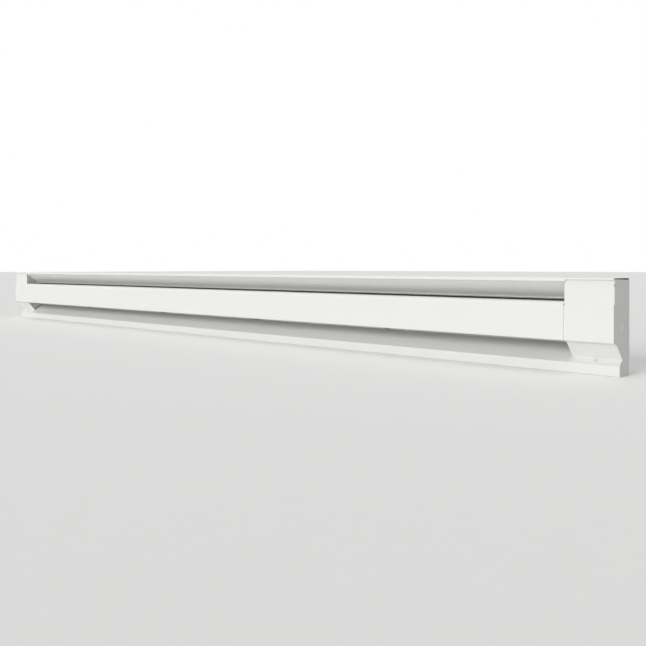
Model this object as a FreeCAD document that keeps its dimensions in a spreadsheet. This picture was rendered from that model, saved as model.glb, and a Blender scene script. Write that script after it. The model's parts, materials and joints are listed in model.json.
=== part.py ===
"""Electric baseboard heater: a 96 inch sheet-steel casing with a finned tubular element inside.

Frame: X runs along the heater, +Z is up, the front faces -Y and the wall is the plane Y = depth / 2.
The origin is under the middle of the casing, at floor level.
Inside this file a point is given as (along, out, up): along is X, out is the distance from the wall
towards the room, and up is Z.  All lengths are millimetres and all angles are degrees.
"""
import FreeCAD, Part
import math
import os

import Sketcher
from FreeCAD import Placement, Rotation, Vector

# ---------------------------------------------------------------------------------- driving sizes
SIZES = {
    # casing
    "body_length": 2438,  # over the knockout discs of the two ends
    "body_height": 178,
    "body_depth": 65,
    "gauge": 0.9,  # painted casing sheet
    "bend_radius": 1.5,  # middle of the sheet, at an ordinary fold
    "fit_gap": 0.1,  # between pieces that lie against each other
    # hem along the front of the hood
    "hem_drop": 7,
    "hem_end_drop": 3.4,  # what is left of it above a wiring cover
    "hem_space": 2.2,  # between the middles of two folded layers
    "hem_radius": 1.0,
    "hem_return": 4,
    # kick box under the heater and the ramp above it
    "kick_depth": 41,
    "kick_height": 19.7,
    "kick_inset": 2,
    "kick_return": 24,
    "kick_corner": 3.6,
    "ramp_angle": 39,
    # air deflector behind the outlet
    "deflector_front": 60,
    "deflector_front_up": 171,
    "deflector_crease": 47.5,
    "deflector_crease_up": 161,
    "deflector_angle": 40,
    "deflector_width": 35.8,
    "deflector_tab": 12,
    "dimple_share": 0.55,  # how far down the lower face, as a part of its width
    "dimple_radius": 3,
    "dimple_height": 0.5,
    "dimple_pitch": 133,
    # front panel and its pivot
    "panel_bottom": 61.3,
    "pivot_up": 125,
    "roll_radius": 9,
    "panel_lap": 2,  # flat length of the roll, behind the pivot
    "panel_hem": 3,
    "panel_foot": 10,
    "panel_foot_lip": 4,
    "panel_seam": 0.5,
    # wiring compartments and their covers
    "compartment_length": 95.4,
    "cover_top_gap": 1.1,
    "joggle_up": 125.6,
    "joggle_rise": 1.9,
    "cover_bottom": 62,
    "cover_shelf": 53,
    "cover_shelf_up": 57.8,
    "cover_crease": 29.5,
    "cover_flange_out": 39.6,
    "cover_notch_width": 3.2,
    "cover_notch_height": 8,
    "screw_from_end": 48,
    "screw_out": 33.5,
    "screw_radius": 1.9,
    "screw_length": 9,
    "screw_head": 3.2,
    "screw_head_height": 2.8,
    "screw_washer": 4.4,
    "screw_washer_height": 0.8,
    # end plates and bulkheads
    "end_plate_top": 176,
    "end_plate_slope": 1.6,
    "end_flange": 9,
    "relief_radius": 2.2,
    "relief_up": 165,
    "bulkhead_setback": 4,
    "bulkhead_tongue": 8,
    "bulkhead_gap": 0.5,
    "bulkhead_clear": 3,  # from the upper face of a wiring cover
    "knockout_radius": 11.1,
    "knockout_slit": 0.4,
    "knockout_proud": 0.6,  # of a disc from its end plate
    "knockout_tab": 3,
    "knockout_out": 23,
    "knockout_up": 87,
    "knockout_from_end": 28,
    "knockout_back_up": 120,
    # wall screw holes
    "wall_hole_radius": 2.6,
    "wall_hole_from_end": 62,
    "wall_hole_low": 70,
    "wall_hole_high": 148,
    "stud_pitch": 406.4,
    "stud_hole_up": 63,
    # rivets, set flush with the wall side
    "rivet_radius": 1.6,
    "rivet_head": 3,
    "rivet_head_height": 1,
    "rivet_rise": 18,  # of the lower bulkhead rivet over the wall holes
    # heat shield
    "shield_gauge": 0.5,
    "shield_out": 6,
    "shield_low": 70,
    "shield_high": 146,
    "shield_flange": 8,
    "shield_rise": 5,
    # element, its fins and its brackets
    "element_out": 34,
    "element_up": 96,
    "sheath_radius": 4,
    "sheath_wall": 0.7,
    "sheath_overhang": 18,
    "cold_length": 45,
    "pin_radius": 1.5,
    "pin_reach": 14,
    "wire_radius": 0.6,
    "seal_length": 8,
    "fin_width": 44,
    "fin_height": 50,
    "fin_thickness": 0.4,
    "fin_pitch": 8.5,
    "fin_margin": 9,
    "fin_collar": 0.8,
    "bracket_gauge": 1.2,
    "bracket_foot": 14,
    "bracket_low": 57,
    "bracket_top": 119,
    "bracket_play": 0.6,
    "bushing_wall": 3,
    "bushing_length": 6,
    "bushing_flange": 2,
    "bushing_flange_thick": 1,
    # overheat cut-out
    "capillary_up": 127,
    "capillary_radius": 1,
    "clip_radius": 2.2,
    "ear_height": 13,
    "ear_width": 10,
    "switch_width": 22,
    "switch_depth": 26,
    "switch_height": 30,
    "switch_blade": 8,
    "switch_blade_width": 6,
    # wires kept inside the casing
    "lead_radius": 1.3,
    "return_wire_out": 3.6,
    "return_wire_up": 108,
    "splice_radius": 5,
    "splice_length": 16,
    "splice_end": 2,  # closed end of a splice
    "lead_loop": 14,  # how far a lead runs on past its pin
    "lead_fall": 17,  # how far it has turned down by then
    "lead_entry": 12,  # straight run into a splice
    "ground_screw_gap": 8,  # from the bulkhead flange, and below the wall hole
}
BANKS = 5  # stacks of fins along the element, with a bracket between each two

doc = FreeCAD.newDocument("baseboard_heater")
sheet = doc.addObject("Spreadsheet::Sheet", "Sizes")
for row, (alias, value) in enumerate(SIZES.items(), start=1):
    sheet.set(f"A{row}", str(value))
    sheet.setAlias(f"A{row}", alias)
doc.recompute()


# ------------------------------------------------------------------------- lengths tied to the sheet
class Size:
    """A number, and the text that ties a property to the sheet cells it comes from."""

    def __init__(self, number, text):
        self.number = float(number)
        self.text = text

    def __add__(self, other):
        other = as_size(other)
        return Size(self.number + other.number, f"({self.text} + {other.text})")

    def __sub__(self, other):
        other = as_size(other)
        return Size(self.number - other.number, f"({self.text} - {other.text})")

    def __mul__(self, other):
        other = as_size(other)
        return Size(self.number * other.number, f"({self.text} * {other.text})")

    def __truediv__(self, other):
        other = as_size(other)
        return Size(self.number / other.number, f"({self.text} / {other.text})")

    def __radd__(self, other):
        return as_size(other) + self

    def __rsub__(self, other):
        return as_size(other) - self

    def __rmul__(self, other):
        return as_size(other) * self

    def __rtruediv__(self, other):
        return as_size(other) / self

    def __neg__(self):
        return Size(-self.number, f"(0 - {self.text})")


def as_size(value):
    """A plain number as a Size, and a Size as it is."""
    return value if isinstance(value, Size) else Size(value, repr(float(value)))


def sine(angle):
    return Size(math.sin(math.radians(angle.number)), f"sin({angle.text} * 1deg)")


def cosine(angle):
    return Size(math.cos(math.radians(angle.number)), f"cos({angle.text} * 1deg)")


def tangent(angle):
    return Size(math.tan(math.radians(angle.number)), f"tan({angle.text} * 1deg)")


class Named:
    """Every cell of the sheet as a Size, read as s.alias."""

    def __getattr__(self, alias):
        return Size(getattr(sheet, alias), f"Sizes.{alias}")


s = Named()
WALL = s.body_depth / 2  # Y of the wall plane
END = s.body_length / 2 - s.knockout_proud  # X of the outer face of the right-hand end plate
PLATE = END - s.gauge  # inner face of the right-hand end plate
COVER = END - s.compartment_length  # inner edge of the right-hand wiring cover
BULKHEAD = COVER + s.bulkhead_setback  # inner face of the right-hand bulkhead
HEATED = BULKHEAD - s.fit_gap  # half length of what spans between the bulkheads
PIVOT_OUT = s.body_depth - s.roll_radius
PANEL_BACK = PIVOT_OUT - s.roll_radius + s.panel_lap  # back of the panel's rolled top
COVER_FACE = s.body_depth - s.hem_space - s.gauge - s.fit_gap  # upper face of a wiring cover, behind the hem
HOOD_INSIDE = s.body_height - s.gauge
FLANGE_ON_WALL = s.gauge + s.fit_gap / 2  # wall side of anything that lies on the back panel

# (sheet X, sheet Y) of a sketch laid across the heater are (out, up), and its normal is -X
ACROSS = Rotation(Vector(0, -1, 0), Vector(0, 0, 1), Vector(-1, 0, 0), "XYZ")
# a sketch that faces the room has (along, up), and its normal points out
FACING = Rotation(Vector(1, 0, 0), Vector(0, 0, 1), Vector(0, -1, 0), "XYZ")
ALONG_X = Rotation(Vector(0, 1, 0), 90)
ALONG_OUT = Rotation(Vector(1, 0, 0), 90)


# ------------------------------------------------------------------------------------- small helpers
def bind(thing, **values):
    """Tie properties to the sheet, one expression each."""
    for name, value in values.items():
        thing.setExpression(name, as_size(value).text)


def place(thing, along, out, up, turn=None):
    """Put an object's own origin at (along, out, up), turned as given."""
    if turn is not None:
        thing.Placement = Placement(Vector(0, 0, 0), turn)
    for axis, value in zip("xyz", (as_size(along), WALL - out, as_size(up))):
        thing.setExpression(f"Placement.Base.{axis}", value.text)


def block(along, out, up):
    """A box between two values of along, out and up."""
    box = doc.addObject("Part::Box", "block")
    bind(box, Length=along[1] - as_size(along[0]))
    bind(box, Width=out[1] - as_size(out[0]))
    bind(box, Height=up[1] - as_size(up[0]))
    place(box, along[0], out[1], up[0])
    return box


def rod(radius, length, along, out, up, turn=ALONG_X):
    """A cylinder that starts at (along, out, up) and runs along X unless turned."""
    cylinder = doc.addObject("Part::Cylinder", "rod")
    bind(cylinder, Radius=radius, Height=length)
    place(cylinder, along, out, up, turn)
    return cylinder


def fuse(*things):
    whole = doc.addObject("Part::MultiFuse", "fuse")
    whole.Shapes = list(things)
    whole.Refine = True
    return whole


def group(*things):
    whole = doc.addObject("Part::Compound", "group")
    whole.Links = list(things)
    return whole


def cut(base, *tools):
    for tool in tools:
        left = doc.addObject("Part::Cut", "cut")
        left.Base = base
        left.Tool = tool
        base = left
    return base


def mirror(thing):
    """The left-hand twin of a right-hand piece."""
    twin = doc.addObject("Part::Mirroring", "mirror")
    twin.Source = thing
    twin.Normal = Vector(1, 0, 0)
    return twin


def outline(corners, turn, closed, radii):
    """A sketch through the corners, each tied to the sheet, with its folds rounded."""
    sketch = doc.addObject("Sketcher::SketchObject", "outline")
    sketch.Placement = Placement(Vector(0, 0, 0), turn)
    corners = [(as_size(x), as_size(y)) for x, y in corners]
    points = [Vector(x.number, y.number, 0) for x, y in corners]
    count = len(points)
    lines = count if closed else count - 1
    for first in range(lines):
        sketch.addGeometry(Part.LineSegment(points[first], points[(first + 1) % count]), False)
    for first in range(lines if closed else lines - 1):
        sketch.addConstraint(Sketcher.Constraint("Coincident", first, 2, (first + 1) % lines, 1))
    for index, corner in enumerate(corners):
        line, end = (index, 1) if index < lines else (index - 1, 2)
        for kind, value in zip(("DistanceX", "DistanceY"), corner):
            rule = sketch.addConstraint(Sketcher.Constraint(kind, -1, 1, line, end, value.number))
            sketch.setExpression(f"Constraints[{rule}]", value.text)
    doc.recompute()
    for index, radius in radii.items():
        before, after = points[index - 1], points[(index + 1) % count]
        sketch.fillet(index - 1 if index else lines - 1, index, before, after, radius.number, True, True)
        arc = sketch.GeometryCount - 2
        rule = sketch.addConstraint(Sketcher.Constraint("Radius", arc, radius.number))
        sketch.setExpression(f"Constraints[{rule}]", radius.text)
    return sketch


def extrude(base, length, direction):
    solid = doc.addObject("Part::Extrusion", "extrude")
    solid.Base = base
    solid.DirMode = "Custom"
    solid.Dir = direction
    solid.Solid = True
    bind(solid, LengthFwd=length)
    return solid


def across(corners, start, end, radii=None):
    """A solid with a closed (out, up) outline, from start to end along the heater."""
    sketch = outline(corners, ACROSS, True, radii or {})
    place(sketch, start, 0, 0)
    return extrude(sketch, end - as_size(start), Vector(1, 0, 0))


def facing(corners, start, end):
    """A solid with a closed (along, up) outline, from start to end out from the wall."""
    sketch = outline(corners, FACING, True, {})
    place(sketch, 0, start, 0)
    return extrude(sketch, end - as_size(start), Vector(0, -1, 0))


def folded(corners, thickness, start, end, radii):
    """A folded sheet: its middle line across the heater, thickened and run from start to end."""
    sketch = outline(corners, ACROSS, False, radii)
    place(sketch, start, 0, 0)
    section = doc.addObject("Part::Offset2D", "section")
    section.Source = sketch
    section.Fill = True
    bind(section, Value=thickness / 2)
    return extrude(section, end - as_size(start), Vector(1, 0, 0))


def knockout(along, out, up, turn):
    """The slit of a wiring knockout: a ring with two tabs left, to be cut out of a sheet."""
    depth = s.gauge * 4
    half = depth / 2
    start = (along - half, out, up) if turn is ALONG_X else (along, out - half, up)
    ring = cut(
        rod(s.knockout_radius + s.knockout_slit, depth, *start, turn),
        rod(s.knockout_radius, depth, *start, turn),
    )
    reach = s.knockout_radius * 2
    tab = s.knockout_tab / 2
    if turn is ALONG_X:
        tabs = block((along - depth, along + depth), (out - tab, out + tab), (up - reach, up + reach))
    else:
        tabs = block((along - reach, along + reach), (out - depth, out + depth), (up - tab, up + tab))
    return cut(ring, tabs)


def flush_rivet(along, up, reach):
    """A rivet from the wall plane out to reach, with its head on the room side."""
    shank = rod(s.rivet_radius, reach, along, 0, up, ALONG_OUT)
    head = rod(s.rivet_head, s.rivet_head_height, along, reach, up, ALONG_OUT)
    return fuse(shank, head)


def rivet_hole(along, up, reach):
    return rod(s.rivet_radius + s.fit_gap / 2, reach + 1, along, -0.5, up, ALONG_OUT)


def span(side, start, end, out, up):
    """A block from start to end on one side of the middle."""
    along = (start, end) if side > 0 else (-end, -start)
    return block(along, out, up)


def wall_hole(along, up):
    return rod(s.wall_hole_radius, s.gauge * 3, along, -s.gauge, up, ALONG_OUT)


def ramp_up(out, lift=0):
    """Height of the line that lies lift above the middle of the ramp's sheet, at a distance out."""
    foot = s.kick_height - s.gauge / 2
    run = s.kick_depth - s.gauge / 2 - out
    return foot + run * tangent(s.ramp_angle) + lift / cosine(s.ramp_angle)


nodes = {}


def keep(name, thing):
    """Name a finished piece."""
    thing.Label = name
    nodes[name] = thing
    return thing


# ------------------------------------------------------------------------------------------ rivets
BULKHEAD_RIVETS = [
    (BULKHEAD + s.gauge + s.end_flange / 2, s.wall_hole_low + s.rivet_rise),
    (BULKHEAD + s.gauge + s.end_flange / 2, s.wall_hole_high + s.rivet_rise - s.rivet_head),
]
PLATE_RIVETS = [(PLATE - s.end_flange / 2, up) for up in (s.wall_hole_low, s.wall_hole_high)]
BRACKETS = [HEATED * (2 * (2 * step - BANKS) / (2 * BANKS)) for step in range(1, BANKS)]
SIDES = (1, -1)


def casing_rivets():
    """Rivets through the back panel: bulkhead flanges, end plate flanges and bracket feet."""
    reach = FLANGE_ON_WALL + s.gauge
    for name, places in (("bulkhead_rivets", BULKHEAD_RIVETS), ("end_plate_rivets", PLATE_RIVETS)):
        keep(name, group(*[flush_rivet(side * along, up, reach) for side in SIDES for along, up in places]))
    feet = [(along + s.bracket_foot / 2, s.stud_hole_up) for along in BRACKETS]
    reach = FLANGE_ON_WALL + s.bracket_gauge
    keep("bracket_rivets", group(*[flush_rivet(along, up, reach) for along, up in feet]))
    return feet


# ------------------------------------------------------------------------------------------ casing
def back_panel(feet):
    """One folded sheet: front hem, hood, wall sheet, ramp, kick box and its return."""
    half = s.gauge / 2
    front = s.body_depth - half
    hem_foot = s.body_height - s.hem_drop + half
    lip = s.kick_depth - half
    kick_back = s.kick_inset + half
    corners = [
        (front - s.hem_space, hem_foot + s.hem_return),
        (front - s.hem_space, hem_foot),
        (front, hem_foot),
        (front, s.body_height - half),
        (half, s.body_height - half),
        (half, ramp_up(half)),
        (lip, ramp_up(lip)),
        (lip, half),
        (kick_back, half),
        (kick_back, s.kick_return),
    ]
    bends = {1: s.hem_radius, 2: s.hem_radius, 8: s.kick_corner}
    bends.update({fold: s.bend_radius for fold in (3, 4, 5, 6, 7)})
    panel = folded(corners, s.gauge, -END, END, bends)
    beyond = END + 1
    hem_top = s.body_height - s.hem_end_drop
    hem_back = s.body_depth - s.hem_space * 2
    tools = []
    for side in SIDES:
        tools += [
            span(side, PLATE - s.fit_gap, beyond, (-1, s.body_depth + 1), (-1, s.end_plate_top + s.fit_gap)),
            span(side, COVER + s.cover_notch_width, beyond,
                 (hem_back, s.body_depth + 1), (hem_foot - s.gauge, hem_top)),
            span(side, COVER + s.cover_notch_width, beyond,
                 (hem_back, s.body_depth - s.hem_space + s.gauge / 4), (hem_foot, HOOD_INSIDE - half)),
        ]
        for up in (s.wall_hole_low, s.wall_hole_high):
            tools.append(wall_hole(side * (END - s.wall_hole_from_end), up))
        tools.append(wall_hole(side * s.stud_pitch, s.stud_hole_up))
        tools.append(knockout(side * (END - s.knockout_from_end), half, s.knockout_back_up, ALONG_OUT))
        tools += [rivet_hole(side * along, up, s.gauge) for along, up in BULKHEAD_RIVETS + PLATE_RIVETS]
        tools.append(cover_screw_bore(side))
    tools += [rivet_hole(along, up, s.gauge) for along, up in feet]
    keep("back_panel", cut(panel, *tools))


def end_plate():
    """A flat plate with the whole side outline and narrow flanges turned inwards."""
    corners = [
        (s.kick_inset, 0),
        (s.kick_depth, 0),
        (s.kick_depth, s.kick_height),
        (s.cover_flange_out + s.gauge / 2, ramp_up(s.cover_flange_out, s.gauge * 1.5)),
        (s.cover_crease, ramp_up(s.cover_crease, s.gauge * 1.5)),
        (s.cover_shelf, s.cover_shelf_up),
        (s.body_depth, s.cover_bottom),
        (s.body_depth, s.joggle_up),
        (COVER_FACE, s.joggle_up + s.joggle_rise),
        (COVER_FACE, s.end_plate_top),
        (0, s.end_plate_top - s.end_plate_slope),
        (0, s.kick_return),
        (s.kick_inset, s.kick_return),
    ]
    plate = across(corners, PLATE, END, {0: s.kick_corner})
    under_cover = s.gauge + s.fit_gap * 2
    inside = (PLATE - s.end_flange, PLATE + s.gauge / 2)
    relief_low = s.joggle_up + s.joggle_rise

    def flange(face, low, high):
        return block(inside, (face - under_cover - s.gauge, face - under_cover), (low, high))

    upper = flange(COVER_FACE, relief_low + s.relief_radius * 2, s.relief_up - s.relief_radius)
    lower = flange(s.body_depth, s.cover_bottom + s.end_flange / 2, s.joggle_up - s.relief_radius)
    back = block(inside, (FLANGE_ON_WALL, FLANGE_ON_WALL + s.gauge), (s.bracket_low, s.relief_up))
    floor = block(inside, (s.kick_inset * 3, s.kick_depth - s.kick_inset * 2),
                  (FLANGE_ON_WALL, FLANGE_ON_WALL + s.gauge))
    disc = doc.addObject("Part::Cone", "disc")
    bind(disc, Radius1=s.knockout_radius, Radius2=s.knockout_radius - s.knockout_proud)
    bind(disc, Height=s.knockout_proud + s.gauge / 4)
    place(disc, END - s.gauge / 4, s.knockout_out, s.knockout_up, ALONG_X)
    whole = fuse(plate, upper, lower, back, floor, disc)
    reliefs = [
        rod(s.relief_radius, s.gauge * 3, PLATE - s.gauge, COVER_FACE - s.relief_radius / 2, s.relief_up),
        rod(s.relief_radius, s.gauge * 3, PLATE - s.gauge, COVER_FACE - s.relief_radius / 2, relief_low),
    ]
    holes = [rivet_hole(along, up, s.gauge * 3) for along, up in PLATE_RIVETS]
    slit = knockout(END - s.gauge / 2, s.knockout_out, s.knockout_up, ALONG_X)
    right = cut(whole, *reliefs, *holes, slit)
    keep("right_end_plate", right)
    keep("left_end_plate", mirror(right))


def air_deflector():
    """The white sheet seen inside the outlet, hung from the hood by its top tab."""
    half = s.gauge / 2
    top = HOOD_INSIDE - s.fit_gap / 2 - half
    ahead = (cosine(s.deflector_angle), sine(s.deflector_angle))
    crease = (s.deflector_crease, s.deflector_crease_up)
    edge = (crease[0] - s.deflector_width * ahead[0], crease[1] - s.deflector_width * ahead[1])
    under = (edge[0] + s.hem_space * ahead[1], edge[1] - s.hem_space * ahead[0])
    tip = (under[0] + s.hem_return * ahead[0], under[1] + s.hem_return * ahead[1])
    corners = [
        (s.deflector_front - s.deflector_tab, top),
        (s.deflector_front, top),
        (s.deflector_front, s.deflector_front_up),
        crease,
        edge,
        under,
        tip,
    ]
    bends = {fold: s.bend_radius for fold in (1, 2, 3)}
    bends.update({4: s.hem_radius, 5: s.hem_radius})
    deflector = folded(corners, s.gauge, -HEATED, HEATED, bends)
    # pressed dimples along the lower face
    down = s.deflector_width * s.dimple_share
    seat = half - s.gauge / 4
    out = crease[0] - down * ahead[0] - seat * ahead[1]
    up = crease[1] - down * ahead[1] + seat * ahead[0]
    room = HEATED.number / s.dimple_pitch.number
    count = int(room - 0.5)
    dimples = []
    for step in range(-count, count + 1):
        cone = doc.addObject("Part::Cone", "dimple")
        bind(cone, Radius1=s.dimple_radius, Radius2=s.dimple_radius / 2, Height=s.dimple_height + s.gauge / 4)
        place(cone, s.dimple_pitch * step, out, up, Rotation(Vector(1, 0, 0), -s.deflector_angle.number))
        cone.setExpression("Placement.Rotation.Angle", (-s.deflector_angle).text)
        dimples.append(cone)
    keep("air_deflector", fuse(deflector, *dimples))


def front_panel():
    """The panel that hangs by its rolled top edge and swings out at the bottom."""
    half = s.gauge / 2
    front = s.body_depth - half
    foot = s.body_depth - s.panel_foot + half
    crown = s.pivot_up + s.roll_radius - half
    corners = [
        (foot, s.panel_bottom + s.panel_foot_lip),
        (foot, s.panel_bottom + half),
        (front, s.panel_bottom + half),
        (front, crown),
        (PANEL_BACK + half, crown),
        (PANEL_BACK + half, crown - s.panel_hem),
    ]
    bends = {1: s.hem_radius, 2: s.bend_radius, 3: s.roll_radius - half, 4: s.hem_radius}
    reach = COVER - s.panel_seam
    keep("front_panel", folded(corners, s.gauge, -reach, reach, bends))


def cover_screw_bore(side):
    """Clearance for a cover screw, square to the ramp."""
    return ramp_rod(s.screw_radius + s.fit_gap, s.screw_length * 2, side, -s.screw_length)


def ramp_rod(radius, length, side, start):
    """A rod square to the ramp, from start above the outer face of a cover's flange."""
    lift = s.gauge * 1.5 + s.fit_gap + start
    out = s.screw_out + lift * sine(s.ramp_angle)
    up = ramp_up(s.screw_out) + lift * cosine(s.ramp_angle)
    square = Rotation(Vector(1, 0, 0), s.ramp_angle.number)
    thing = rod(radius, length, side * (END - s.screw_from_end), out, up, square)
    thing.setExpression("Placement.Rotation.Angle", s.ramp_angle.text)
    return thing


def wiring_cover():
    """The folded cover of a wiring compartment, held by one screw in its flange on the ramp."""
    half = s.gauge / 2
    front = s.body_depth - half
    upper = COVER_FACE - half
    on_ramp = s.gauge + s.fit_gap
    corners = [
        (upper, HOOD_INSIDE - s.cover_top_gap),
        (upper, s.joggle_up + s.joggle_rise),
        (front, s.joggle_up),
        (front, s.cover_bottom + half),
        (s.cover_shelf - half, s.cover_shelf_up + half),
        (s.cover_crease - half, ramp_up(s.cover_crease - half, on_ramp)),
        (s.cover_flange_out, ramp_up(s.cover_flange_out, on_ramp)),
    ]
    bends = {fold: s.bend_radius for fold in (1, 2, 3, 4)}
    bends[5] = s.hem_radius
    cover = folded(corners, s.gauge, COVER, PLATE - s.fit_gap, bends)
    shoulder = s.body_height - s.hem_end_drop
    notch = facing(
        [
            (COVER - 1, shoulder - s.cover_notch_height),
            (COVER, shoulder - s.cover_notch_height),
            (COVER + s.cover_notch_width, shoulder),
            (COVER + s.cover_notch_width, s.body_height),
            (COVER - 1, s.body_height),
        ],
        COVER_FACE - s.gauge * 3,
        s.body_depth,
    )
    right = cut(cover, notch, cover_screw_bore(1))
    keep("right_wiring_cover", right)
    keep("left_wiring_cover", mirror(right))


def cover_screws():
    """Hex washer-head sheet-metal screws."""
    shank = ramp_rod(s.screw_radius, s.screw_length, 1, -s.screw_length)
    washer = ramp_rod(s.screw_washer, s.screw_washer_height, 1, 0)
    hexagon = doc.addObject("Part::Prism", "hexagon")
    hexagon.Polygon = 6
    bind(hexagon, Circumradius=s.screw_head, Height=s.screw_head_height)
    lift = s.gauge * 1.5 + s.fit_gap
    place(hexagon, END - s.screw_from_end, s.screw_out + lift * sine(s.ramp_angle),
          ramp_up(s.screw_out) + lift * cosine(s.ramp_angle), Rotation(Vector(1, 0, 0), s.ramp_angle.number))
    hexagon.setExpression("Placement.Rotation.Angle", s.ramp_angle.text)
    right = fuse(shank, washer, hexagon)
    keep("right_cover_screw", right)
    keep("left_cover_screw", mirror(right))


def bulkhead():
    """The wall between the fins and a wiring compartment, with a tongue behind the panel's end."""
    inset = s.gauge + s.bulkhead_gap
    slant = s.gauge * 2 + s.bulkhead_gap
    corners = [
        (FLANGE_ON_WALL, ramp_up(s.gauge, s.gauge)),
        (FLANGE_ON_WALL, HOOD_INSIDE - s.bulkhead_gap - s.bend_radius),
        (FLANGE_ON_WALL + s.bend_radius, HOOD_INSIDE - s.bulkhead_gap),
        (COVER_FACE - s.bulkhead_clear, HOOD_INSIDE - s.bulkhead_gap),
        (COVER_FACE - s.bulkhead_clear, s.joggle_up),
        (s.body_depth - inset, s.joggle_up - s.joggle_rise),
        (s.body_depth - inset, s.cover_bottom + inset),
        (s.cover_shelf - slant, s.cover_shelf_up + inset),
        (s.cover_crease - slant, ramp_up(s.cover_crease - slant, s.gauge + s.bulkhead_gap)),
    ]
    plate = across(corners, BULKHEAD, BULKHEAD + s.gauge)
    face = s.body_depth - inset
    tongue = block((COVER - s.bulkhead_tongue, BULKHEAD + s.gauge / 2), (face - s.gauge, face),
                   (s.panel_bottom + s.panel_foot_lip + s.gauge * 2, s.pivot_up - s.roll_radius))
    back = block((BULKHEAD + s.gauge / 2, BULKHEAD + s.gauge + s.end_flange),
                 (FLANGE_ON_WALL, FLANGE_ON_WALL + s.gauge), (s.bracket_low, HOOD_INSIDE - s.end_flange))
    reach = s.gauge * 3
    start = BULKHEAD - s.gauge
    holes = [
        rod(bushing_radius() + s.fit_gap, reach, start, s.element_out, s.element_up),
        rod(s.clip_radius, reach, start, s.element_out, s.capillary_up),
        rod(s.lead_radius + s.fit_gap * 3, reach, start, s.return_wire_out, s.return_wire_up),
    ]
    holes += [rivet_hole(along, up, s.gauge * 3) for along, up in BULKHEAD_RIVETS]
    right = cut(fuse(plate, tongue, back), *holes)
    keep("right_bulkhead", right)
    keep("left_bulkhead", mirror(right))


def heat_shield():
    """The thin reflector that stands off the wall sheet behind the fins."""
    on_wall = FLANGE_ON_WALL + s.shield_gauge / 2
    corners = [
        (on_wall, s.shield_low),
        (on_wall, s.shield_low + s.shield_flange),
        (s.shield_out, s.shield_low + s.shield_flange + s.shield_rise),
        (s.shield_out, s.shield_high - s.shield_flange - s.shield_rise),
        (on_wall, s.shield_high - s.shield_flange),
        (on_wall, s.shield_high),
    ]
    bends = {fold: s.hem_radius for fold in (1, 2, 3, 4)}
    keep("heat_shield", folded(corners, s.shield_gauge, -HEATED, HEATED, bends))


# ------------------------------------------------------------------------- element and what holds it
def bushing_radius():
    return s.sheath_radius + s.fit_gap + s.bushing_wall


def ring(outer, inner, length, along, out, up):
    return cut(rod(outer, length, along, out, up), rod(inner, length + 2, along - 1, out, up))


def element_bracket(along):
    """A stamped plate across the casing: foot on the wall sheet, hole for the element, pivot lug."""
    start = along - s.bracket_gauge / 2
    end = along + s.bracket_gauge / 2
    face = s.body_depth - s.gauge - s.bracket_play
    lug = s.roll_radius - s.gauge - s.bracket_play
    clear_shield = s.shield_out + s.shield_gauge / 2 + s.bracket_play
    shield_foot = FLANGE_ON_WALL + s.shield_gauge + s.bracket_play
    ear = s.ear_width / 2
    foot_top = s.shield_low - s.bracket_play
    corners = [
        (FLANGE_ON_WALL, s.bracket_low),
        (s.body_depth - s.panel_foot * 2, s.bracket_low),
        (s.body_depth - s.panel_foot - 1, s.panel_bottom + s.panel_foot_lip),
        (face, s.panel_bottom + s.panel_foot),
        (face, s.pivot_up),
        (PIVOT_OUT - lug, s.pivot_up),
        (PIVOT_OUT - lug, s.bracket_top),
        (s.element_out + ear, s.bracket_top),
        (s.element_out + ear, s.bracket_top + s.ear_height),
        (s.element_out - ear, s.bracket_top + s.ear_height),
        (s.element_out - ear, s.bracket_top),
        (clear_shield, s.bracket_top),
        (clear_shield, s.shield_low + s.shield_flange + s.shield_rise),
        (shield_foot, s.shield_low + s.shield_flange),
        (shield_foot, foot_top),
        (FLANGE_ON_WALL, foot_top),
    ]
    plate = across(corners, start, end)
    pivot_lug = rod(lug, s.bracket_gauge, start, PIVOT_OUT, s.pivot_up)
    foot = block((start, along + s.bracket_foot), (FLANGE_ON_WALL, FLANGE_ON_WALL + s.bracket_gauge),
                 (s.bracket_low, foot_top))
    behind = along - s.bracket_gauge
    holes = [
        rod(bushing_radius() + s.fit_gap, s.bracket_gauge * 3, behind, s.element_out, s.element_up),
        rod(s.clip_radius, s.bracket_gauge * 3, behind, s.element_out, s.capillary_up),
        rivet_hole(along + s.bracket_foot / 2, s.stud_hole_up, s.bracket_gauge * 3),
    ]
    return cut(fuse(plate, pivot_lug, foot), *holes)


def bushing(along, flange_side):
    """A ceramic ring that keeps the element off the steel, flanged on one side."""
    bore = s.sheath_radius + s.fit_gap
    outer = bushing_radius()
    body = ring(outer, bore, s.bushing_length, along - s.bushing_length / 2, s.element_out, s.element_up)
    near = along + s.bracket_gauge / 2 + s.fit_gap
    start = near if flange_side > 0 else along - s.bracket_gauge / 2 - s.fit_gap - s.bushing_flange_thick
    flange = ring(outer + s.bushing_flange, bore, s.bushing_flange_thick, start, s.element_out, s.element_up)
    return fuse(body, flange)


def capillary_clip(along):
    """A plastic grommet that carries the capillary through a plate."""
    bore = s.capillary_radius + s.fit_gap
    return ring(s.clip_radius - s.fit_gap, bore, s.bracket_gauge * 3, along - s.bracket_gauge * 1.5,
                s.element_out, s.capillary_up)


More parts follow.
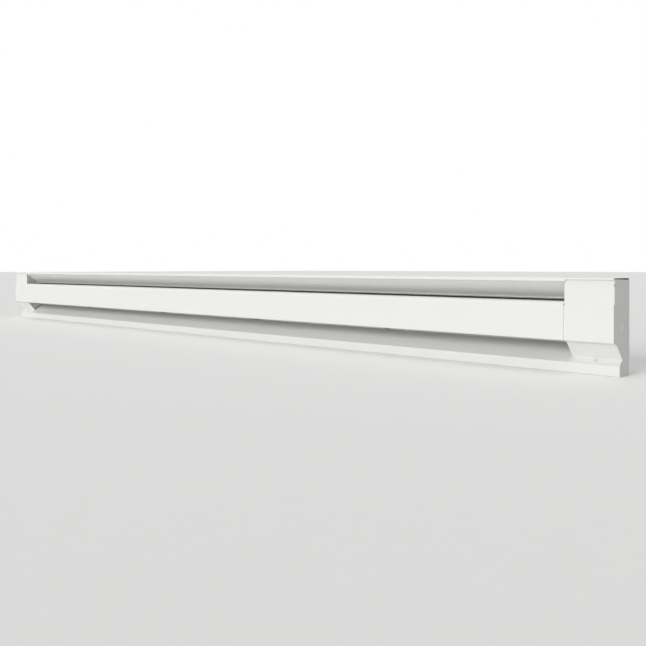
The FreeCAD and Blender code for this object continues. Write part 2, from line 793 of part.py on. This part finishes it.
def element():
    """The sheathed element: steel tube, packed oxide, resistance wire and a pin at each end."""
    out, up = s.element_out, s.element_up
    reach = BULKHEAD + s.sheath_overhang
    bore = s.sheath_radius - s.sheath_wall
    filling = bore - s.fit_gap / 2
    wire_end = BULKHEAD - s.cold_length
    seal = reach - s.seal_length
    keep("element_sheath", ring(s.sheath_radius, bore, reach * 2, -reach, out, up))
    core = rod(filling, seal * 2, -seal, out, up)
    hollow = [rod(s.wire_radius + s.fit_gap / 2, seal * 2 + 2, -seal - 1, out, up)]
    pin_bore = s.pin_radius + s.fit_gap / 2
    for side in SIDES:
        start = wire_end - s.fit_gap if side > 0 else -seal - 1
        hollow.append(rod(pin_bore, seal - wire_end + s.fit_gap + 1, start, out, up))
    keep("element_core", cut(core, *hollow))
    keep("resistance_wire", rod(s.wire_radius, wire_end * 2, -wire_end, out, up))
    pin_length = reach + s.pin_reach - wire_end
    pin = rod(s.pin_radius, pin_length, wire_end, out, up)
    keep("right_terminal_pin", pin)
    keep("left_terminal_pin", mirror(pin))
    bead = ring(filling, pin_bore, s.seal_length + 2, seal, out, up)
    keep("right_end_seal", bead)
    keep("left_end_seal", mirror(bead))


def fin_bank(index):
    """Aluminium fins on one run of collars, patterned along the element."""
    low = -HEATED + HEATED * (2 * index / BANKS)
    length = HEATED * (2 / BANKS) - s.fin_margin * 2
    start = low + s.fin_margin
    gaps = int(length.number / s.fin_pitch.number)
    body = doc.addObject("PartDesign::Body", "fin_bank")
    collar = body.newObject("PartDesign::AdditiveCylinder", "collar")
    bind(collar, Radius=s.sheath_radius + s.fin_collar, Height=s.fin_pitch * gaps + s.fin_thickness)
    place(collar, start, s.element_out, s.element_up, ALONG_X)
    fin = body.newObject("PartDesign::AdditiveBox", "fin")
    bind(fin, Length=s.fin_thickness, Width=s.fin_width, Height=s.fin_height)
    place(fin, start, s.element_out + s.fin_width / 2, s.element_up - s.fin_height / 2)
    row = body.newObject("PartDesign::LinearPattern", "row")
    row.Originals = [fin]
    axis = [item for item in body.Origin.OriginFeatures if item.Role == "X_Axis"][0]
    row.Direction = (axis, [""])
    bind(row, Length=s.fin_pitch * gaps)
    row.Occurrences = gaps + 1
    body.Tip = row
    bore = body.newObject("PartDesign::SubtractiveCylinder", "bore")
    bind(bore, Radius=s.sheath_radius + s.fit_gap / 2, Height=s.fin_pitch * gaps + 2)
    place(bore, start - 1, s.element_out, s.element_up, ALONG_X)
    body.Tip = bore
    keep(f"fin_bank_{index + 1}", body)


# ----------------------------------------------------------------------------- wiring compartments
def limit_switch():
    """The overheat cut-out on the right-hand bulkhead and the capillary that feeds it."""
    near = BULKHEAD + s.gauge + s.fit_gap
    half = s.switch_depth / 2
    low = s.capillary_up - s.switch_height / 3
    body = block((near, near + s.switch_width), (s.element_out - half, s.element_out + half),
                 (low, low + s.switch_height))
    far = near + s.switch_width
    blade_out = s.gauge / 2
    blade_up = s.switch_blade_width / 2
    blades = []
    for step in (-1, 1):
        middle = s.element_out + step * s.switch_depth / 4
        blades.append(block((far, far + s.switch_blade), (middle - blade_out, middle + blade_out),
                            (s.capillary_up - blade_up, s.capillary_up + blade_up)))
    keep("limit_switch", body)
    keep("switch_blades", group(*blades))
    left = -(BULKHEAD - s.cold_length / 3)
    keep("limit_capillary", rod(s.capillary_radius, near - left, left, s.element_out, s.capillary_up))


def run_of_wire(name, points, radius):
    """A round wire along straight runs joined by tangent arcs, as large as the runs allow."""
    corners = [Vector(along.number, (WALL - out).number, up.number) for along, out, up in points]
    edges = []
    last = corners[0]
    for before, corner, after in zip(corners, corners[1:], corners[2:]):
        to_start = (before - corner).normalize()
        to_end = (after - corner).normalize()
        half_turn = (math.pi - to_start.getAngle(to_end)) / 2
        run = min(corner.distanceToPoint(before), corner.distanceToPoint(after)) * 0.45
        start = corner + to_start * run
        end = corner + to_end * run
        bend = run / math.tan(half_turn)
        inward = (to_start + to_end).normalize()
        middle = corner + inward * (bend / math.cos(half_turn) - bend)
        edges.append(Part.LineSegment(last, start).toShape())
        edges.append(Part.Arc(start, middle, end).toShape())
        last = end
    edges.append(Part.LineSegment(last, corners[-1]).toShape())
    path = Part.Wire(edges)
    first = (corners[1] - corners[0]).normalize()
    circle = Part.Wire([Part.Circle(corners[0], first, radius.number).toShape()])
    wire = doc.addObject("Part::Feature", "wire")
    wire.Shape = path.makePipeShell([circle], True, False)
    keep(name, wire)


def leads():
    """The wires of each compartment and the closed-end splices that join them."""
    pin_end = BULKHEAD + s.sheath_overhang + s.pin_reach
    splice_along = BULKHEAD + s.sheath_overhang
    mouth = s.element_up - s.fin_height / 2
    seat = s.splice_length - s.splice_end
    splices = []
    for side in SIDES:
        along = side * splice_along
        cap = rod(s.splice_radius, s.splice_length, along, s.element_out, mouth - seat, Rotation())
        floor = mouth - seat + s.splice_end
        bore = rod(s.splice_radius - s.gauge, seat, along, s.element_out, floor, Rotation())
        splices.append(cut(cap, bore))
    keep("wire_splices", group(*splices))
    offset = s.lead_radius + s.fit_gap * 2
    above = mouth + s.lead_entry
    below = mouth - s.lead_radius * 3
    for side, name in ((1, "right_lead"), (-1, "left_lead")):
        run_of_wire(name, [
            (side * pin_end, s.element_out, s.element_up),
            (side * (pin_end + s.lead_loop), s.element_out, s.element_up),
            (side * (pin_end + s.lead_entry), s.element_out, s.element_up - s.lead_fall),
            (side * (splice_along + offset), s.element_out, above),
            (side * (splice_along + offset), s.element_out, below),
        ], s.lead_radius)
    # the return wire crosses behind the heat shield
    back = s.return_wire_out
    turn = s.lead_radius * 3
    return_run = []
    for side in (-1, 1):
        half_run = [
            (side * (splice_along - offset), s.element_out, below),
            (side * (splice_along - offset), s.element_out - s.gauge, above),
            (side * (splice_along + s.splice_end), back + turn * 1.5, s.return_wire_up - turn),
            (side * (BULKHEAD + turn * 2), back, s.return_wire_up),
        ]
        return_run += half_run if side < 0 else half_run[::-1]
    run_of_wire("return_wire", return_run, s.lead_radius)


def ground_screws():
    """A green ground screw in the wall sheet side of each compartment, on the bulkhead's flange."""
    parts = []
    up = s.wall_hole_low - s.ground_screw_gap
    for side in SIDES:
        along = side * (BULKHEAD + s.gauge + s.end_flange + s.ground_screw_gap)
        parts.append(rod(s.screw_washer, s.screw_head_height, along, FLANGE_ON_WALL, up, ALONG_OUT))
    keep("ground_screws", group(*parts))


# ------------------------------------------------------------------------------------ build and save
bracket_feet = casing_rivets()
back_panel(bracket_feet)
end_plate()
air_deflector()
front_panel()
wiring_cover()
cover_screws()
bulkhead()
heat_shield()
for number, position in enumerate(BRACKETS, start=1):
    keep(f"element_bracket_{number}", element_bracket(position))
keep("bracket_bushings", group(*[bushing(position, -1) for position in BRACKETS]))
keep("bulkhead_bushings", group(*[bushing(side * (BULKHEAD + s.gauge / 2), side) for side in SIDES]))
keep("capillary_clips", group(*[capillary_clip(position) for position in BRACKETS]))
element()
for bank in range(BANKS):
    fin_bank(bank)
limit_switch()
leads()
ground_screws()
doc.recompute()

for item in doc.Objects:
    if "Invalid" in item.State or "Error" in item.State:
        raise RuntimeError(f"{item.Name} ({item.Label}) is {item.State}")
for name, item in nodes.items():
    if item.Shape.isNull() or not item.Shape.isValid():
        raise RuntimeError(f"{name} has no valid shape")

os.makedirs("parts", exist_ok=True)
for name, item in nodes.items():
    item.Shape.exportStep(f"parts/{name}.step")
    box = item.Shape.BoundBox
    print(f"{name}: {len(item.Shape.Solids)} solids, {item.Shape.Volume / 1000:.2f} cm3,"
          f" X {box.XMin:.1f} {box.XMax:.1f} Y {box.YMin:.2f} {box.YMax:.2f} Z {box.ZMin:.2f} {box.ZMax:.2f}")
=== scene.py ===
# %% [markdown]
# # A white baseboard heater
# The heater is an eight-foot sheet-metal box: a folded back panel with a hood and a kick box, an air
# deflector, a front panel that hangs by its rolled edge, and a cover over the wiring at each end.
# The engineering model already holds every fold at its real size, so this script first loads it, then
# gives each surface its finish, makes the small pieces that want a finer shape, and lights the whole.

# %% Load the frame
import json
import math

import bpy
import numpy as np
from mathutils import Euler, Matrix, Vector


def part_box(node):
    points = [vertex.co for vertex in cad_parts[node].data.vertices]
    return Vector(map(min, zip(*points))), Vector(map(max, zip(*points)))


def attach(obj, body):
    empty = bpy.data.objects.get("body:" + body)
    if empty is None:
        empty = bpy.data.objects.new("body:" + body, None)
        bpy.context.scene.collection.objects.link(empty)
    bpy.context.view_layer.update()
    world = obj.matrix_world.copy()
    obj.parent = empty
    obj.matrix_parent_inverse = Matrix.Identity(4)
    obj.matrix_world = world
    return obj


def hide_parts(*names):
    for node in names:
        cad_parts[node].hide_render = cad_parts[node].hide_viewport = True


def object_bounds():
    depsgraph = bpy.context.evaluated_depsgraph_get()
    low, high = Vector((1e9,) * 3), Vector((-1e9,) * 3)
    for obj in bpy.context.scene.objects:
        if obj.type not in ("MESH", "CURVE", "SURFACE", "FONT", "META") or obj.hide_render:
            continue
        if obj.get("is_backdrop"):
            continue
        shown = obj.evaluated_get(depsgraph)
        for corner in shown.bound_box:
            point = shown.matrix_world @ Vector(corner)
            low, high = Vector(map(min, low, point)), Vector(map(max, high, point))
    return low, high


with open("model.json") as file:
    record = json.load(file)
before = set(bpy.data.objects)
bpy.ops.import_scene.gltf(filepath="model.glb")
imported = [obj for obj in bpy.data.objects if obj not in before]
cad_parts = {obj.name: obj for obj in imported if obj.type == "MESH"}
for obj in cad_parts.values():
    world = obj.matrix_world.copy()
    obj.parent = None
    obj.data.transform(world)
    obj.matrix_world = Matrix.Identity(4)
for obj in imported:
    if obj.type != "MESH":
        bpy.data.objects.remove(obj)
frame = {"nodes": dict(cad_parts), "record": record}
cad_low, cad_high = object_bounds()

MM = 0.001
size = np.array(cad_high) - np.array(cad_low)
print("heater in mm, along, out and up:", [round(float(side) / MM, 1) for side in size])

# %% [markdown]
# ## Camera
# The heater is seen from beyond its right-hand end, just above its own top.  The camera stays level, so
# every upright edge stays upright, and a small vertical shift brings the heater to its place in the
# frame.  Tilting the camera would do that too, but then the ends would lean.

# %% Camera
camera_data = bpy.data.cameras.new("camera")
camera_data.sensor_width = 36
camera_data.lens = 43.35
camera_data.shift_y = -0.0863
camera_data.clip_end = 100
camera = bpy.data.objects.new("camera", camera_data)
camera.location = (1.8187, -1.3686, 0.1972)
camera.rotation_euler = (math.radians(90), 0, 0.78)
bpy.context.scene.collection.objects.link(camera)
bpy.context.scene.camera = camera
sight = Euler(camera.rotation_euler).to_matrix() @ Vector((0, 0, -1))
print("camera looks along", [round(side, 3) for side in sight])

# %% [markdown]
# ## Helpers for finishes
# Every finish is a small tree of nodes on one Principled shader.  Paints and metals differ in their
# numbers far more than in their wiring, so one function builds the common tree: two close colours mixed
# by a grain, a gloss that follows the same grain, and a shallow relief.  A grain's size is given in real
# millimetres: a noise of scale S repeats about every 1 / S metres, so its scale is 1000 / millimetres.


# %% Colour and node helpers
def linear(colour):
    """An sRGB colour written as six hex digits, as the linear values that a shader reads."""
    values = np.array([int(colour[place:place + 2], 16) for place in (0, 2, 4)]) / 255
    values = np.where(values <= 0.04045, values / 12.92, ((values + 0.055) / 1.055) ** 2.4)
    return (*values.tolist(), 1.0)


def add(tree, kind, sockets=None, **settings):
    """A new node of any kind, with its settings and the values or links of its sockets."""
    made = tree.nodes.new(kind)
    for name, value in settings.items():
        setattr(made, name, value)
    for name, value in (sockets or {}).items():
        if isinstance(value, bpy.types.NodeSocket):
            tree.links.new(value, made.inputs[name])
        else:
            made.inputs[name].default_value = value
    return made


def scale_of(millimetres):
    """The scale of a pattern that repeats about every so many millimetres."""
    return 1 / (millimetres * MM)


print("white is", linear("FFFFFF"), "and a mid grey", [round(part, 3) for part in linear("808080")])


# %% The common tree of a finish
def finish(name, colours, grain, stretch=(1, 1, 1), metallic=0.0, ior=1.5, rough=(0.4, 0.5), relief=0.0):
    """A material whose grain mixes two colours, moves the roughness and raises the surface.

    The grain is a noise of that many millimetres on the object's own coordinates, each multiplied by
    stretch, so a small number draws the grain out along that axis.  Relief is in millimetres.
    """
    material = bpy.data.materials.new(name)
    material.use_nodes = True
    tree = material.node_tree
    shader = tree.nodes["Principled BSDF"]
    shader.inputs["Metallic"].default_value = metallic
    shader.inputs["IOR"].default_value = ior
    place = add(tree, "ShaderNodeTexCoord").outputs["Object"]
    drawn = add(tree, "ShaderNodeMapping", {"Vector": place, "Scale": stretch}).outputs["Vector"]
    noise = add(tree, "ShaderNodeTexNoise", {"Vector": drawn, "Scale": scale_of(grain), "Detail": 4.0,
                                             "Roughness": 0.6}).outputs["Fac"]
    colour = add(tree, "ShaderNodeMix", {"Factor": noise}, data_type="RGBA")
    colour.inputs[6].default_value = linear(colours[0])
    colour.inputs[7].default_value = linear(colours[1])
    tree.links.new(colour.outputs[2], shader.inputs["Base Color"])
    gloss = add(tree, "ShaderNodeMapRange", {"Value": noise, "To Min": rough[0], "To Max": rough[1]})
    tree.links.new(gloss.outputs["Result"], shader.inputs["Roughness"])
    if relief:
        bump = add(tree, "ShaderNodeBump", {"Height": noise, "Distance": relief * MM, "Strength": 1.0})
        tree.links.new(bump.outputs["Normal"], shader.inputs["Normal"])
    return material


def turn_towards(material, amount, colour):
    """Mixes the colour that a finish already has with another, by an amount that may vary."""
    tree = material.node_tree
    shader = tree.nodes["Principled BSDF"]
    below = shader.inputs["Base Color"].links[0].from_socket
    over = add(tree, "ShaderNodeMix", {"Factor": amount}, data_type="RGBA")
    tree.links.new(below, over.inputs[6])
    over.inputs[7].default_value = linear(colour)
    tree.links.new(over.outputs[2], shader.inputs["Base Color"])


def second_grain(material, kind, sockets, colour, share, socket="Fac"):
    """Lays a second pattern over a finish: where it is strong, the colour turns towards the given one."""
    tree = material.node_tree
    place = add(tree, "ShaderNodeTexCoord").outputs["Object"]
    pattern = add(tree, kind, {"Vector": place, **sockets}).outputs[socket]
    amount = add(tree, "ShaderNodeMath", {0: pattern, 1: share}, operation="MULTIPLY").outputs[0]
    turn_towards(material, amount, colour)


# %% [markdown]
# ## The white paint
# The casing is steel sheet under a baked powder coat.  Powder melts into a film with a faint orange-peel
# skin, about a millimetre across and a few thousandths high, and a semi-gloss that varies slightly.
# That skin is what keeps a long flat panel from looking like plastic, so it goes into the relief.

# %% Powder coats
PAINT = {
    # casing, panel and covers: semi-gloss white
    "white_enamel": finish("white_enamel", ("E6E6E4", "EAEAE8"), 1.2, rough=(0.34, 0.44), relief=0.004),
    # the deflector inside the outlet: the white painted lighter, painted light against the outlet's shade
    "deflector_enamel": finish("deflector_enamel", ("F1F1EF", "F5F5F3"), 1.2,
                               rough=(0.34, 0.42), relief=0.003),
    # the same coat on the end plates, painted a little darker: painted shade on plates turned from the
    # light
    "plate_enamel": finish("plate_enamel", ("E0E0DE", "E4E4E2"), 1.2, rough=(0.38, 0.48), relief=0.004),
}
for material in PAINT.values():
    # a slow drift in the film's thickness, about a hand's width
    second_grain(material, "ShaderNodeTexNoise", {"Scale": scale_of(140), "Detail": 1.0}, "D6D6D3", 0.10)
print("paints:", ", ".join(PAINT))


# %% [markdown]
# A painted highlight: the narrow edge of an end plate is painted whiter than its flat side, standing in for
# the light that a rounded edge would catch.  The edge is the part that faces the room, and the object's own
# normal tells where that is.

# %% The painted highlight on an end plate's front edge
def paint_front_highlight(material, colour):
    """A painted highlight: turns the colour towards a lighter one as the surface turns to face -Y."""
    tree = material.node_tree
    normal = add(tree, "ShaderNodeTexCoord").outputs["Normal"]
    front = {0: normal, 1: (0, -1, 0)}
    facing = add(tree, "ShaderNodeVectorMath", front, operation="DOT_PRODUCT").outputs["Value"]
    amount = add(tree, "ShaderNodeMapRange", {"Value": facing, "From Min": 0.3, "From Max": 0.8})
    turn_towards(material, amount.outputs["Result"], colour)


# painted highlight: the end plates' faces that turn to the front are painted lighter
paint_front_highlight(PAINT["plate_enamel"], "EFEFED")
print("edges whitened on plate_enamel")

# %% [markdown]
# ## Bare sheet metals
# Brackets are hot-dip galvanised: zinc freezes in flat crystals, the spangle, each a slightly different
# grey.  A cell pattern gives exactly that.  The shield is aluminised and the fins are rolled aluminium;
# both carry fine streaks along the way the sheet was rolled, which a drawn-out grain gives.

# %% Sheet metals
METAL = {
    # hot-dip galvanised bracket sheet
    "galvanised_steel": finish("galvanised_steel", ("A3A7AA", "B7BABC"), 3, metallic=0.9, ior=2.5,
                               rough=(0.38, 0.55), relief=0.01),
    # aluminised reflector sheet, streaked along the heater
    "aluminised_steel": finish("aluminised_steel", ("BDBEBD", "CDCECD"), 0.8, (0.02, 1, 1), 0.95, 1.4,
                               (0.30, 0.46), 0.004),
    # fin stock, streaked upwards
    "fin_aluminium": finish("fin_aluminium", ("C4C6C8", "D6D8DA"), 0.5, (1, 1, 0.03), 1.0, 1.4,
                            (0.24, 0.40), 0.002),
    # plain steel rivets, tumbled
    "rivet_steel": finish("rivet_steel", ("8E8F90", "A2A3A4"), 0.4, metallic=1.0, ior=2.5,
                          rough=(0.35, 0.55), relief=0.01),
    # bright zinc on the cover screws
    "zinc_plate": finish("zinc_plate", ("D2D5D7", "E2E5E6"), 0.3, metallic=0.7, ior=2.0,
                         rough=(0.38, 0.52), relief=0.004),
}
# the spangle: crystals about seven millimetres across
SPANGLE = {"Scale": scale_of(7)}
second_grain(METAL["galvanised_steel"], "ShaderNodeTexVoronoi", SPANGLE, "8C9194", 0.5, "Color")
print("sheet metals:", ", ".join(METAL))

# %% [markdown]
# ## The element
# The element is a stainless tube that runs hot, so its oxide skin is brown-grey and uneven along the
# length.  Its pins, the copper capillary of the cut-out and the brass blades keep their own metal colour,
# dulled a little by handling.

# %% Element and small metals
METAL.update({
    "sheath_steel": finish("sheath_steel", ("4E4944", "6A645C"), 1.5, (0.2, 1, 1), 0.85, 2.5,
                           (0.38, 0.58), 0.006),
    "resistance_alloy": finish("resistance_alloy", ("736D66", "857F77"), 0.3, metallic=1.0, ior=2.5,
                               rough=(0.4, 0.6), relief=0.002),
    "copper_tube": finish("copper_tube", ("A9683F", "C07F55"), 1.2, (0.1, 1, 1), 1.0, 1.1,
                          (0.25, 0.45), 0.003),
    "nickel_pin": finish("nickel_pin", ("A8A69F", "BAB8B1"), 0.5,
                         (0.2, 1, 1), 1.0, 1.9, (0.2, 0.34), 0.002),
    "brass_blade": finish("brass_blade", ("B5924E", "C9A661"), 0.6, (0.1, 1, 1), 1.0, 1.2,
                          (0.26, 0.42), 0.003),
    "green_screw": finish("green_screw", ("22693A", "2F7D48"), 0.4, metallic=0.8, ior=1.6,
                          rough=(0.3, 0.45), relief=0.004),
})
# heat tint: brown patches, about sixty millimetres apart, on the grey tube
HEAT_TINT = {"Scale": scale_of(60), "Detail": 2.0}
second_grain(METAL["sheath_steel"], "ShaderNodeTexNoise", HEAT_TINT, "5B4638", 0.6)
# fingerprints of oxide on the copper
FINGERPRINTS = {"Scale": scale_of(9), "Detail": 3.0}
second_grain(METAL["copper_tube"], "ShaderNodeTexNoise", FINGERPRINTS, "6E4330", 0.45)
print("element metals:", len(METAL))

# %% [markdown]
# ## Insulators
# Steatite rings are off-white with a chalky skin and dark specks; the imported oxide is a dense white
# powder.  The moulded plastics are nearly black, where only the gloss shows the shape, and the natural
# nylon of the splices lets some light through.

# %% Ceramics and plastics
INSULATOR = {
    "white_ceramic": finish("white_ceramic", ("E2DFD5", "ECEAE2"), 0.6,
                            ior=1.6, rough=(0.55, 0.75), relief=0.01),
    "packed_oxide": finish("packed_oxide", ("DEDCD3", "EDEBE4"), 0.25,
                           ior=1.7, rough=(0.8, 0.95), relief=0.03),
    "black_nylon": finish("black_nylon", ("1C1C1D", "242426"), 0.5,
                          ior=1.53, rough=(0.42, 0.6), relief=0.006),
    "black_phenolic": finish("black_phenolic", ("1E1B19", "2A2623"), 0.8,
                             ior=1.6, rough=(0.3, 0.5), relief=0.006),
    "clear_nylon": finish("clear_nylon", ("D8D2BC", "E2DDCA"), 2.0,
                          ior=1.53, rough=(0.25, 0.4), relief=0.01),
    "black_insulation": finish("black_insulation", ("19191A", "222223"), 0.7,
                               (0.1, 1, 1), 0.0, 1.45, (0.5, 0.65), 0.01),
}
# a third of the light that enters the natural nylon passes through
nylon = INSULATOR["clear_nylon"].node_tree.nodes["Principled BSDF"]
nylon.inputs["Transmission Weight"].default_value = 0.35
# kiln specks in the steatite
SPECKS = {"Scale": scale_of(2.5)}
second_grain(INSULATOR["white_ceramic"], "ShaderNodeTexVoronoi", SPECKS, "A79E8C", 0.25, "Distance")
print("insulators:", ", ".join(INSULATOR))

# %% [markdown]
# ## Painting the frame
# The record says which slot every node takes, and a slot and its finish share a name, so one loop paints
# the whole engineering model.

# %% Give every node its finish
FINISH = {**PAINT, **METAL, **INSULATOR}
slot_of = {part["node"]: part["material_slot"] for part in frame["record"]["subparts"]}
for name, node in frame["nodes"].items():
    for slot in node.material_slots:
        slot.material = FINISH[slot_of[name]]
print("nodes painted:", len(frame["nodes"]), "with", len(set(slot_of.values())), "finishes")

# %% [markdown]
# ## Screws
# The one screw in each cover is what a hand meets first, so it gets its true shape: a threaded shank, a
# wide washer, a six-sided head with a chamfered crown and a shallow dish.  All of that is one surface:
# a profile of radius against height, carried round the axis, whose radius also depends on the angle.
# In the hexagon the radius is the flat's distance divided by the cosine of the angle to the nearest
# flat; in the thread it is cut where height over pitch and angle over a full turn agree.


# %% A surface from a grid
def skin(name, grid, slot):
    """A closed piece of the casing from rows of rings: quads between neighbours, a fan over each end ring.

    grid has the shape (rows, columns, 3), in metres, and each ring closes on itself.
    """
    rows, columns = grid.shape[:2]
    ends = np.array([grid[0].mean(0), grid[-1].mean(0)])
    points = np.vstack([grid.reshape(-1, 3), ends])
    row, column = np.meshgrid(np.arange(rows - 1), np.arange(columns), indexing="ij")
    here, beside = row * columns + column, row * columns + (column + 1) % columns
    quads = np.stack([here, beside, beside + columns, here + columns], axis=-1).reshape(-1, 4)
    around = np.arange(columns)
    first = np.stack([np.full(columns, rows * columns), (around + 1) % columns, around], axis=-1)
    last = np.stack([around, (around + 1) % columns, np.full(columns, columns + 1)], axis=-1)
    last += (rows - 1) * columns
    mesh = bpy.data.meshes.new(name)
    mesh.from_pydata(points.tolist(), [], quads.tolist() + first.tolist() + last.tolist())
    mesh.polygons.foreach_set("use_smooth", np.ones(len(mesh.polygons), dtype=bool))
    mesh.set_sharp_from_angle(angle=math.radians(35))
    mesh.materials.append(FINISH[slot])
    mesh.update()
    piece = bpy.data.objects.new(name, mesh)
    bpy.context.scene.collection.objects.link(piece)
    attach(piece, "casing")
    return piece


# %% A hex washer-head screw
WASHER = 4.4


def screw(name, seat, axis, shank, slot, washer=WASHER, across_flats=5.5, height=2.8, radius=1.9,
          pitch=1.4):
    """One screw, sizes in millimetres: seat is the middle of the washer's underside, axis points out of it.

    Each row is (height over the seat, radius, share of hexagon, share of thread).
    """
    thread = [(-shank + step, radius, 0, 1) for step in np.arange(0.0, shank, pitch / 8)] if shank else []
    tip = [(-shank, 0.3, 0, 0), (-shank, radius * 0.6, 0, 0)] if shank else []
    flat = across_flats / 2
    head = [
        # the washer, with a rounded rim
        (0.0, radius * 0.9, 0, 0), (0.0, washer - 0.15, 0, 0), (0.12, washer, 0, 0),
        (0.55, washer - 0.05, 0, 0), (0.75, washer - 0.35, 0, 0),
        # the six flats
        (0.85, flat * 1.25, 0.2, 0), (0.95, flat * 1.02, 1, 0), (height - 0.55, flat, 1, 0),
        # the chamfer and the dish in the crown
        (height - 0.3, flat * 0.99, 0.8, 0), (height - 0.05, flat * 0.93, 0, 0),
        (height, flat * 0.84, 0, 0), (height - 0.12, flat * 0.62, 0, 0), (height - 0.3, flat * 0.3, 0, 0),
    ]
    up, wide, six, cut = np.array(tip + thread + head).T[:, :, None]
    angle = np.linspace(0, 2 * math.pi, 48, endpoint=False)[None, :]
    to_flat = (angle + math.pi / 6) % (math.pi / 3) - math.pi / 6
    valley = np.abs((up / pitch - angle / (2 * math.pi)) % 1 - 0.5) * 2
    depth = 0.28 * np.clip(1.6 * valley, 0, 1)
    reach = wide * (1 - six + six / np.cos(to_flat)) * (1 - cut * depth)
    # the thread runs out to a blunt point over its first turn and a half
    taper = np.clip((up + shank) / (pitch * 1.5) * 0.5 + 0.5, 0, 1)
    reach = np.where(cut > 0, reach * taper, reach)
    local = np.stack([reach * np.cos(angle), reach * np.sin(angle), up + 0 * angle], axis=-1)
    frame_of_axis = np.array(Vector(axis).to_track_quat("Z", "X").to_matrix())
    return skin(name, (local @ frame_of_axis.T) * MM + np.array(seat) * MM, slot)


# the ramp leans 39 degrees, and a cover's screw stands square to it
LEAN = math.radians(39)
OUT_OF_RAMP = (0, -math.sin(LEAN), math.cos(LEAN))
# where the washer rests on the cover's flange, and how far the shank goes in
SEAT_Y, SEAT_UP = -1.91, 26.09
SHANK = 8.6
for side in ("left", "right"):
    low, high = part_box(side + "_cover_screw")
    middle = (low.x + high.x) / 2 / MM
    seat = (middle, SEAT_Y, SEAT_UP)
    made = screw(side + "_cover_screw_turned", seat, OUT_OF_RAMP, SHANK, "zinc_plate")
    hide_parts(side + "_cover_screw")
    print(made.name, len(made.data.polygons), "faces")

# %% The green ground screws
low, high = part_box("ground_screws")
wall_side, middle_up = high.y / MM, (low.z + high.z) / 2 / MM
for side, along in (("left", low.x / MM + WASHER), ("right", high.x / MM - WASHER)):
    seat = (along, wall_side, middle_up)
    screw("ground_screw_" + side, seat, (0, -1, 0), 0, "green_screw")
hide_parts("ground_screws")

# %% [markdown]
# ## Floor
# A pale, flat, matt board.  It has a slow mottle of its own, so that it doesn't read as a flat fill.

# %% Floor
board = finish("floor_board", ("F8F8F7", "FBFBFA"), 30, rough=(0.8, 0.9))
floor_mesh = bpy.data.meshes.new("floor")
floor_mesh.from_pydata([(-30, -30, 0), (30, -30, 0), (30, 30, 0), (-30, 30, 0)], [], [(0, 1, 2, 3)])
floor_mesh.materials.append(board)
floor = bpy.data.objects.new("floor", floor_mesh)
bpy.context.scene.collection.objects.link(floor)
floor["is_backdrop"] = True
print("floor is", [round(side, 1) for side in floor.dimensions[:2]], "m")

# %% [markdown]
# ## Light
# A long white object needs light that is even from end to end, so both lights are very large and very
# distant.  The low one stands in front, twenty degrees up, and reaches in under the panel's foot; the top
# one lights the floor, which throws light back up on the raked covers and into the outlet.  The room adds
# a weak light from above and behind, and shows plain white behind the heater and in its gloss.


# %% Room
def room(tone):
    """A surrounding light whose strength follows the direction: one lobe for each (axis, sign, strength).

    It only shows as light on rough surfaces: to the camera and in a gloss it is plain white.
    """
    world = bpy.data.worlds.new("studio")
    world.use_nodes = True
    tree = world.node_tree
    direction = add(tree, "ShaderNodeTexCoord").outputs["Generated"]
    way = add(tree, "ShaderNodeSeparateXYZ", {"Vector": direction})
    total = add(tree, "ShaderNodeValue").outputs[0]
    total.default_value = 0.0
    for axis, sign, strength in tone:
        lobe = add(tree, "ShaderNodeMath", {0: way.outputs[axis], 1: sign}, operation="MULTIPLY").outputs[0]
        lobe = add(tree, "ShaderNodeMath", {0: lobe, 1: 0.0}, operation="MAXIMUM").outputs[0]
        lobe = add(tree, "ShaderNodeMath", {0: lobe, 1: lobe}, operation="MULTIPLY").outputs[0]
        more = {0: lobe, 1: strength, 2: total}
        total = add(tree, "ShaderNodeMath", more, operation="MULTIPLY_ADD").outputs[0]
    ray = add(tree, "ShaderNodeLightPath").outputs
    either = {0: ray["Is Camera Ray"], 1: ray["Is Glossy Ray"]}
    seen = add(tree, "ShaderNodeMath", either, operation="MAXIMUM").outputs[0]
    shown = add(tree, "ShaderNodeMix", {"Factor": seen}, data_type="FLOAT")
    tree.links.new(total, shown.inputs[2])
    shown.inputs[3].default_value = 1.0
    tree.links.new(shown.outputs[0], tree.nodes["Background"].inputs["Strength"])
    tree.nodes["Background"].inputs["Color"].default_value = (1, 1, 1, 1)
    bpy.context.scene.world = world


# from behind and from above: the axis, its sign and the strength
ROOM = [("Y", 1, 0.3), ("Z", 1, 0.55)]
room(ROOM)


# %% Lights
def soft_sun(name, strength, spread, azimuth, elevation):
    """A distant light of that spread, from an azimuth (0 in front, 90 past the right end) and elevation."""
    data = bpy.data.lights.new(name, "SUN")
    data.energy = strength * math.pi
    data.angle = math.radians(spread)
    lamp = bpy.data.objects.new(name, data)
    lamp.rotation_euler = (math.radians(90 - elevation), 0, math.radians(azimuth))
    bpy.context.scene.collection.objects.link(lamp)
    return lamp


# strength, spread, azimuth and elevation in degrees
SUNS = {
    "low": (0.60, 30, 1, 20),
    "top": (0.21, 40, 0, 78),
}
lamps = {name: soft_sun(name + "_light", *values) for name, values in SUNS.items()}
bpy.context.scene.view_settings.view_transform = "Standard"
print("lights:", list(lamps))

# %% [markdown]
# ## Sizes
# The box of what is shown is printed in millimetres, like the engineering model's box near the start.

# %% Print the shown size
low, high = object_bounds()
print("shown box in mm:", [round(float(side) / MM, 1) for side in np.array(high) - np.array(low)])
